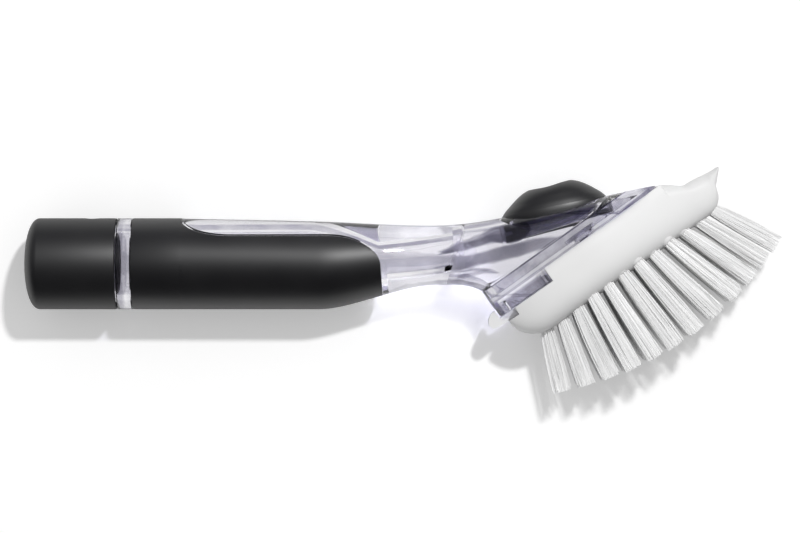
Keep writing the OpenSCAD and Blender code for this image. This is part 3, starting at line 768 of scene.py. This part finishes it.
def clear_handle():
    body = loft("handle_shell", outer_rings())
    shell = side_prism("covered", covered(), 40)
    combine(shell, loft("inner_side", grip_rings(GRIP_WALL + BOND, 8)))
    combine(body, shell)
    liner, chamfer, start = BARREL_R - GRIP_WALL - BOND, BARREL_R - 0.3, -COLLAR - BOND
    neck = lathe("neck", [(0, NECK_END), (12.4, NECK_END), (NECK_R, NECK_END + 0.6),
                          (NECK_R, BAND_X), (chamfer, BAND_X), (BARREL_R, BAND_X + 0.3),
                          (BARREL_R, start - 0.3), (chamfer, start), (liner, start),
                          (liner, COLLAR + 0.5), (0, COLLAR + 0.5)])
    combine(body, neck, "UNION")
    combine(body, thread("thread", NECK_END + 2.2, THREAD_ROOT, THREAD_CREST, 3), "UNION")
    combine(body, flange_solid("flange", BASE_T, STRIP_H), "UNION")
    tank = [(0, NECK_END - 1), (TANK_R, NECK_END - 1), (TANK_R, TANK_FRONT - 3)]
    for i in range(9):
        k = i / 8
        tank.append((mix(TANK_R, 10.3, ease(k) * 0.5 + k * k * 0.5), TANK_FRONT - 3 + 6 * k))
    tank += [(THROAT_R, TANK_FRONT + 24), (0, TANK_FRONT + 24)]
    combine(body, lathe("tank", tank))
    combine(body, lathe("throat", [(0, -1), (THROAT_R, -1), (THROAT_R, SEAT), (POCKET_R, SEAT),
                                   (POCKET_R, SEAT + POCKET_LEN), (0, SEAT + POCKET_LEN)],
                        throat_place, count=72))
    chamber = loft("chamber", [fan_ring(mix(0.16, 1, i / 36), WALL) for i in range(37)])
    combine(chamber, well("well"))
    combine(body, chamber)
    under = flange_solid("under", BASE_T - 1, STRIP_H + 0.3, WALL + 0.3, WALL, 0.9)
    combine(under, well("well2"))
    combine(body, under)
    combine(body, button_prism("opening", GAP, -14, WELL_TOP))
    return body
handle = clear_handle()
dress(handle, CLEAR, "handle", "clear_plastic", "clear_body")

# The soft grip

grip = loft("grip_soft", grip_rings(0))
combine(grip, loft("inside", grip_rings(GRIP_WALL, 1)))
combine(grip, side_prism("bare", bare_outline(BOND) + [(140, -FAR), (140, FAR)], 40))
bevel(grip, 0.35, 3, 50)
liner = BARREL_R - GRIP_WALL
collar = lathe("collar_soft", [(liner, -COLLAR), (BARREL_R - 0.35, -COLLAR),
                               (BARREL_R - 0.1, -COLLAR + 0.1), (BARREL_R, -COLLAR + 0.35),
                               (BARREL_R, COLLAR + 0.1), (liner, COLLAR + 0.1), (liner, -COLLAR)])
combine(grip, collar, "UNION", 40)
dress(grip, SOFT, "handle", "soft_black", "grip_sleeve")
grip.data.materials.append(PAINTED_LIGHT_INSIDE)
# painted light: the sleeve's inside, which shows through the clear wall, is coloured pale to stand in
# for the light the clear wall lets through; the real inside is black
for face in grip.data.polygons:
    x, y, z = face.center / MM
    mid = (top_y(x) + low_y(x)) / 2
    across = math.hypot((y - mid) / ((top_y(x) - low_y(x)) / 2), z / half_w(x))
    if across < 1 - 1.2 / BARREL_R and face.normal.y * (y - mid) + face.normal.z * z < 0:
        face.material_index = 1

# The screw cap

CAP_EDGE, CAP_BORE, CAP_N = -14.55, 15.2, 2.2


def end_curve(x0, r, length, steps=24):
    out = []
    for i in range(steps + 1):
        t = math.pi / 2 * i / steps
        out.append((r * power(math.sin(t), CAP_N), x0 + length * (1 - power(math.cos(t), CAP_N))))
    return out


cap = lathe("cap_soft", end_curve(CAP_END, BARREL_R, CAP_ROUND)
            + [(BARREL_R, -15.0), (BARREL_R - 0.1, -14.65), (BARREL_R - 0.35, CAP_EDGE),
               (CAP_BORE, CAP_EDGE)]
            + list(reversed(end_curve(-45.9, CAP_BORE, 4.3))), count=160)
mark = lathe("mark", [(0, -2), (2.6, -2), (2.85, 0), (0, 0)],
             lambda p: (BAND_X - 9 + p[1], BARREL_R + 1.4 + p[0], p[2]), count=64)
combine(cap, mark)
dress(cap, CAP, "cap", "soft_black", "cap_skin")

# The push button

SKIRT_REAR = PLUNGER_REAR + TRAVEL - MEMBRANE_DROP + 0.4
SKIRT_FRONT = PLUNGER_FRONT + TRAVEL - MEMBRANE_DROP + 0.2
DOME_H, DOME_RISE, DIP, DIP_A, DIP_LEN = 8.0, 0.7, 0.45, -1.5, 5.0
# the dome's rings: height, length and width as shares of the whole
DOME = [(0, 1, 1), (0.2, 0.93, 0.95), (0.4, 0.83, 0.88), (0.6, 0.725, 0.8), (0.8, 0.6, 0.68),
        (0.94, 0.48, 0.54), (1, 0.36, 0.4)]


def button_ring(a, b, rear, front):
    return [button_place((p, mix(rear, front, p / (2 * HALF_L) + 0.5), -q))
            for p, q in superellipse(a, b, BTN_N, 96)]


def tilted(a, b, z):
    # the top rises towards the front, with a shallow dip for the thumb across its middle
    out = []
    for p, q in superellipse(a, b, BTN_N, 96):
        dip = DIP * math.exp(-((p - DIP_A) / DIP_LEN) ** 2) * (z / DOME_H) ** 4
        out.append(button_place((p, z + DOME_RISE * z / DOME_H * (p / HALF_L) - dip, -q)))
    return out


def between(p0, p1, p2, p3, t):
    # a smooth curve from p1 to p2 that also heeds its neighbours p0 and p3
    return 0.5 * (2 * p1 + (p2 - p0) * t + (2 * p0 - 5 * p1 + 4 * p2 - p3) * t * t
                  + (3 * p1 - p0 - 3 * p2 + p3) * t ** 3)


def dome_rings():
    h, wide = DOME_H, BTN_W / 2
    keys = [(h * s[0], HALF_L * s[1], wide * s[2]) for s in DOME]
    keys += [(h - 0.98, HALF_L * 0.16, wide * 0.18), (h - 1.4, HALF_L * 0.04, wide * 0.05)]
    rings = [button_ring(HALF_L, wide, SKIRT_REAR * k, SKIRT_FRONT * k) for k in (1, 0.5)]
    last = len(keys) - 1
    for i in range(last):
        four = [keys[min(max(j, 0), last)] for j in range(i - 1, i + 3)]
        for k in range(5):
            z, a, b = (between(*values, k / 5) for values in zip(*four))
            rings.append(tilted(a, b, z))
    z, a, b = keys[-1]
    return rings + [tilted(a, b, z)]


dome = loft("button_soft", dome_rings(), 50)
dress(dome, BUTTON, "button", "soft_black", "button_dome")

# The white brush head

BLOCK_LEN, BLOCK_H, DECK_END = 94.8, 19.6, 74.0
NOTCH_V, TONGUE_TOP = -5.6, -5.75
TONGUE_LOW = TONGUE_TOP - 2.5
BACK_U, WIDEST_U, FRONT_U, FRONT_ROUND, SCRAPER_U = 14, 37, 82, 7.9, 89.9
SLOPE_LEN, SLOPE_V, SCRAPER_V = 8, -5.4, -12.9


def block_low(u):
    # rounded back end, level middle, rounded front, then the scraper's underside
    if u < BACK_U:
        t = (BACK_U - u) / 12
        return -BLOCK_H + (BLOCK_H - 10) * (1 - math.sqrt(max(0, 1 - t * t)))
    if u < FRONT_U:
        return -BLOCK_H
    if u < SCRAPER_U:
        t = (u - FRONT_U) / FRONT_ROUND
        return -BLOCK_H + (BLOCK_H + SCRAPER_V) * (1 - math.sqrt(max(0, 1 - t * t)))
    return mix(SCRAPER_V, -7.7, (u - SCRAPER_U) / (BLOCK_LEN - SCRAPER_U))


def block_top(u):
    # under the deck the block starts above the deck's level and is cut back to it
    if u < DECK_END - 0.1:
        return 6.0
    past = u - DECK_END
    if u < DECK_END + SLOPE_LEN:
        return mix(-0.5, SLOPE_V, ease(past / SLOPE_LEN))
    return mix(SLOPE_V, -6.9, ease((past - SLOPE_LEN) / (BLOCK_LEN - DECK_END - SLOPE_LEN)))


def block_half(u):
    if u < WIDEST_U:
        return HEAD_W / 2 * (1 - ((WIDEST_U - u) / 37.6) ** 3) ** (1 / 3)
    return mix(HEAD_W / 2, 8.0, ease(1.02 * (u - WIDEST_U) / (BLOCK_LEN - WIDEST_U)))

def block_ring(u):
    top, low, w = block_top(u), block_low(u), block_half(u)
    m = mix(-6.8, (top + low) / 2, ease((u - DECK_END) / 18))
    out = []
    for i in range(96):
        t = 2 * math.pi * i / 96
        n, reach = (3, top - m) if math.cos(t) > 0 else (3.2, m - low)
        out.append(head(u, m + reach * power(math.cos(t), n), w * power(math.sin(t), n)))
    return out


LUG_END, THUMB_END, CHANNEL_HALF = 22.7, 6.2, 5.3
RAIL_START, RAIL_END, RAIL_IN, WEB_OUT, LIP_OUT = 21.5, 60.2, 5.7, 8.5, 10.3


def brush_head():
    stations = [2, 2.15, 2.4, 2.8, 3.4, 4.2, 5.2, 6.5, 8, 10, 12, BACK_U]
    stations += [BACK_U + i * 2.4 for i in range(1, 25)] + [73.0, 73.85, 73.95]
    stations += [74.05 + i * 0.6 for i in range(1, 14)]
    stations += [FRONT_U + i * 0.6 for i in range(1, 21)] + [BLOCK_LEN]
    block = loft("brush_head", [block_ring(u) for u in sorted(set(stations))], 36)
    combine(block, head_box("deck", -5, DECK_END, -BOND, 30, -40, 40))
    combine(block, head_box("lug", -5, LUG_END, NOTCH_V, 30, -40, 40))
    combine(block, head_box("thumb", -5, THUMB_END, TONGUE_LOW - 0.2, 30, -40, 40))
    combine(block, head_box("channel", -5, RAIL_END, -3.1, 30, -CHANNEL_HALF, CHANNEL_HALF))
    for side in (-1, 1):
        w = sorted((side * RAIL_IN, side * WEB_OUT))
        combine(block, head_box("web", RAIL_START, RAIL_END, -3.4, 1, *w))
        w = sorted((side * RAIL_IN, side * LIP_OUT))
        combine(block, head_box("lip", RAIL_START, RAIL_END, -5.2, -2.8, *w))
    # the room in which the tongue swings, and the round seat of its root
    root_u, swing = 11, math.tan(math.radians(14))
    slot = [(-6, 0), (root_u, 0), (root_u, TONGUE_LOW - 0.08), (-6, TONGUE_LOW - 0.4 - 17 * swing)]
    combine(block, make("slot", [head(a, b, w) for w in (-5, 5) for a, b in slot],
                        [[0, 1, 2, 3], [4, 5, 6, 7], [0, 1, 5, 4], [1, 2, 6, 5], [2, 3, 7, 6],
                         [3, 0, 4, 7]]))
    combine(block, lathe("root", [(0, -5), (1.33, -5), (1.33, 5), (0, 5)],
                         lambda p: head(root_u + p[1], -7 + p[2], p[0]), count=48))
    return block


block = brush_head()

COUNTS = [2, 3, 4, 5, 5, 5, 5, 4, 4, 3, 2, 2]
FIRST_ROW, ROW_PITCH, TUFT_PITCH = 11.5, 6.65, 5.2
FIRST_TIP, TIP_PITCH, TIP_DEPTH = 2.9, 8.45, 50.4
OUTLET_U = 40.7


def tufts():
    # row, sideways place, foot and tip of every tuft; none stands in the outlet's way
    out = []
    for i, count in enumerate(COUNTS):
        u = FIRST_ROW + ROW_PITCH * i
        for j in range(count):
            w = (j - (count - 1) / 2) * TUFT_PITCH
            if abs(w) < 0.1 and abs(u - OUTLET_U) < 5:
                continue
            foot = Vector((u, block_low(u) + 0.9 + 0.011 * w * w, w))
            tu = FIRST_TIP + TIP_PITCH * i + 3.1 * math.exp(-((i - 8.4) / 2) ** 2)
            k = (tu - 52) / 49
            out.append((i, w, foot, Vector((tu, -TIP_DEPTH + 9.8 * k * k, w * 1.2))))
    return out


def tuft_axes(foot, tip):
    d = (foot - tip).normalized()
    e1 = (Vector((1, 0, 0)) - d * d.x).normalized()
    return d, e1, d.cross(e1)


MOUTH = [(3.0, 2.4), (2.75, 0.6), (2.55, 0.1), (2.35, -0.12), (2.15, 0.1), (2.1, 1.6)]
MOUTH_SIDES = 24


def mouths():
    # each tuft leaves a slightly raised, rounded mouth
    points, faces = [], []
    for i, w, foot, tip in tufts():
        d, e1, e2 = tuft_axes(foot, tip)
        faces += tube(len(points), MOUTH_SIDES, len(MOUTH) - 1)
        for r, h in MOUTH:
            for k in range(MOUTH_SIDES):
                t = 2 * math.pi * k / MOUTH_SIDES
                p = foot + d * (h - 0.3) + (e1 * math.cos(t) + e2 * math.sin(t)) * r
                points.append(head(*p))
    return make("tuft_mouths", points, faces, 60)


dress(mouths(), WHITE, "head", "white_plastic")
dress(block, WHITE, "head", "white_plastic", "brush_block")


FILAMENTS, STRAYS, ROOT_R = 95, 0.03, 1.95
SPREAD_U, SPREAD_W = 3.3, 2.9
LENGTHS, SIDES = 4, 4


def bristles(row):
    rng = random.Random(400 + row)
    points, faces = [], []
    for i, w, foot, tip in tufts():
        if i != row:
            continue
        d, e1, e2 = tuft_axes(foot, tip)
        for k in range(FILAMENTS):
            r, t = math.sqrt(rng.random()), 2 * math.pi * rng.random()
            x, y = r * math.cos(t), r * math.sin(t)
            stray = rng.random() < STRAYS
            root = foot + d * 3 + (e1 * x + e2 * y) * ROOT_R
            spread = 1.12 if stray else 1.0
            end = tip + e1 * x * SPREAD_U * spread + e2 * y * SPREAD_W * spread
            end += Vector((rng.gauss(0, 0.16), 0, rng.gauss(0, 0.16)))
            cut = rng.random() ** 2 * 1.8 + (1.2 if stray else 0)
            end += d * (cut + 0.35 * (1 - math.cos(0.9 * r)))
            bow = (e1 * rng.gauss(0, 0.22) + e2 * rng.gauss(0, 0.22))
            a0 = 2 * math.pi * rng.random()
            start = len(points)
            for s in range(LENGTHS + 1):
                q = s / LENGTHS
                c = root.lerp(end, q) + bow * (4 * q * (1 - q))
                c += (e1 * x + e2 * y) * 0.25 * (4 * q * (1 - q))
                size = mix(0.17, 0.15, q)
                for m in range(SIDES):
                    a = a0 + 2 * math.pi * m / SIDES
                    points.append(head(*(c + (e1 * math.cos(a) + e2 * math.sin(a)) * size)))
            faces += tube(start, SIDES, LENGTHS)
            faces += [[start + LENGTHS * SIDES + m for m in range(SIDES)],
                      [start + m for m in range(SIDES)]]
    return make("bristles_%02d" % (row + 1), points, faces, 60)


for row in range(len(COUNTS)):
    dress(bristles(row), BRISTLE, "head", "bristle", "bristle_row_%02d" % (row + 1))

# CAD parts that keep their own shape

LOOKS = {"cap_core": HARD, "cap_seal": SILICONE, "inlet_valve": INSIDE, "valve_retainer": INSIDE,
         "diaphragm_ring": NAVY, "button_diaphragm": NAVY, "button_core": NAVY,
         "base_plate": CLEAR, "outlet_valve": INSIDE, "outlet_retainer": INSIDE, "release_tongue": WHITE,
         "tuft_staples": STEEL}
for name, look in LOOKS.items():
    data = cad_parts[name].data
    data.materials.clear()
    data.materials.append(look)

# Floor, light and camera

FLOOR_Z = min(BOX_AT_LOAD[0][2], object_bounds()[0][2]) - 0.0001
REACH = 3
floor_mesh = bpy.data.meshes.new("floor")
floor_mesh.from_pydata([(-REACH, -REACH, FLOOR_Z), (REACH, -REACH, FLOOR_Z),
                        (REACH, REACH, FLOOR_Z), (-REACH, REACH, FLOOR_Z)], [], [[0, 1, 2, 3]])
floor = bpy.data.objects.new("floor", floor_mesh)
bpy.context.scene.collection.objects.link(floor)
m, nodes, links, bsdf = material("floor_look")
bsdf.inputs["Roughness"].default_value = 0.6
bsdf.inputs["Specular IOR Level"].default_value = 0.1
# a little light of its own makes the table as white as in the photo, for the camera only
path = nodes.new("ShaderNodeLightPath")
glow = math_node(nodes, links, "MULTIPLY", path.outputs["Is Camera Ray"], 0.235)
bsdf.inputs["Emission Color"].default_value = (1, 1, 1, 1)
links.new(glow, bsdf.inputs["Emission Strength"])
# the table's pale sheet ends a hand's width outside the picture; only reflections see that
place = nodes.new("ShaderNodeTexCoord")
shift = nodes.new("ShaderNodeMapping")
shift.inputs["Location"].default_value = (-0.0873, 0.0, 0.0)
shift.inputs["Scale"].default_value = (0.75, 1.0, 0.0)
links.new(place.outputs["Object"], shift.inputs["Vector"])
far = nodes.new("ShaderNodeVectorMath")
far.operation = "LENGTH"
links.new(shift.outputs["Vector"], far.inputs[0])
away = math_node(nodes, links, "MULTIPLY", span(nodes, links, far.outputs["Value"], 0.17, 0.34),
                 math_node(nodes, links, "SUBTRACT", 1, path.outputs["Is Camera Ray"]))
links.new(ramp(nodes, links, away, (0.88, 0.88, 0.88), (0.10, 0.10, 0.13), 0, 1),
          bsdf.inputs["Base Color"])
# clear plastic bends the light round what lies behind it, so it shows the pale sheet more than
# the shadows on it
pale = nodes.new("ShaderNodeEmission")
pale.inputs["Strength"].default_value = 1.0
seen_through = math_node(nodes, links, "MULTIPLY", path.outputs["Is Transmission Ray"], 0.72)
surface_mix(nodes, links, seen_through, bsdf.outputs["BSDF"], pale.outputs["Emission"])
floor_mesh.materials.append(m)

key = bpy.data.lights.new("key", "POINT")
key.energy = 55
key.shadow_soft_size = 0.05
lamp = bpy.data.objects.new("key", key)
bpy.context.scene.collection.objects.link(lamp)
lamp.location = (0.48, 0.70, 1.32)

world = bpy.data.worlds.new("studio")
bpy.context.scene.world = world
world.use_nodes = True
wn, wl = world.node_tree.nodes, world.node_tree.links
coords = wn.new("ShaderNodeTexCoord")
split = wn.new("ShaderNodeSeparateXYZ")
wl.new(coords.outputs["Generated"], split.inputs[0])
band = wn.new("ShaderNodeValToRGB")
band.color_ramp.interpolation = "EASE"
stops = band.color_ramp.elements
stops[0].color = (0.02, 0.02, 0.028, 1)
stops[1].color = (0.16, 0.16, 0.19, 1)
for at, color in ((0.40, (0.03, 0.03, 0.042, 1)), (0.62, (0.38, 0.38, 0.4, 1))):
    stops.new(at).color = color
wl.new(span(wn, wl, split.outputs["Y"], -1, 1), band.inputs["Fac"])
wpath = wn.new("ShaderNodeLightPath")


def sky(ray, usual, special):
    # usual light, but special for one kind of ray
    choose = wn.new("ShaderNodeMixRGB")
    wl.new(wpath.outputs[ray], choose.inputs["Fac"])
    for key, v in (("Color1", usual), ("Color2", special)):
        if isinstance(v, tuple):
            choose.inputs[key].default_value = v
        else:
            wl.new(v, choose.inputs[key])
    return choose.outputs["Color"]


light = sky("Is Glossy Ray", (0.47, 0.47, 0.47, 1), band.outputs["Color"])
light = sky("Is Transmission Ray", light, (0.62, 0.61, 0.66, 1))
light = sky("Is Camera Ray", light, (1, 1, 1, 1))
wl.new(light, wn["Background"].inputs["Color"])

cam = bpy.data.cameras.new("camera")
cam.sensor_width = 36
cam.lens = 162.5
cam.clip_start = 0.05
cam.clip_end = 20
camera = bpy.data.objects.new("camera", cam)
bpy.context.scene.collection.objects.link(camera)
camera.location = (0.0873, -0.0010, 1.3)
bpy.context.scene.camera = camera
bpy.context.scene.view_settings.view_transform = "Standard"
